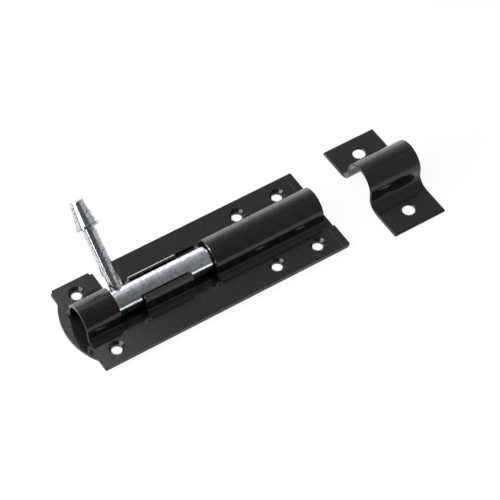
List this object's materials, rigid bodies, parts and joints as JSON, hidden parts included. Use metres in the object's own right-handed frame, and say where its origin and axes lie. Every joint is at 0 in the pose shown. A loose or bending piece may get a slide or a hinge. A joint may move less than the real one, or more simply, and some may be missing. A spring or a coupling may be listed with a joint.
{
  "type": "door bolt",
  "caption": "Surface-mounted door bolt: a round bolt with a side handle slides and turns in a pressed arched casing on a base plate, with a separate strap keeper.",
  "frame": {"origin": "on the back plate's fixing face, under the bolt's axis, at the casing's handle end", "axes": "+X along the bolt towards the keeper, which is the way the bolt shoots; +Z away from the door, so the back face looks along -Z; +Y to the side of the slot that the handle lies in"},
  "size_m": [0.1988, 0.0766, 0.0446],
  "materials": {
    "black_coating": "satin to semi-gloss black powder coating with a fine orange-peel surface, on pressed steel sheet",
    "zinc_plate": "zinc-plated drawn bar, semi-bright with faint cloudy blue-grey mottling",
    "bright_plate": "turned and brightly plated steel, a little softer than polished chrome"
  },
  "bodies": {
    "base": {"back_plate": "black_coating", "casing": "black_coating", "keeper": "black_coating"},
    "bolt": {"bolt_rod": "zinc_plate"},
    "handle": {"handle": "bright_plate"}
  },
  "joints": [
    {"name": "bolt_slide", "type": "slide", "parent": "base", "child": "bolt", "axis": [1, 0, 0], "range_m": [0, 0.045]},
    {"name": "handle_turn", "type": "hinge", "parent": "bolt", "child": "handle", "pos_m": [0.0242, 0, 0.00805], "axis": [1, 0, 0], "range_deg": [-40, 140]}
  ]
}
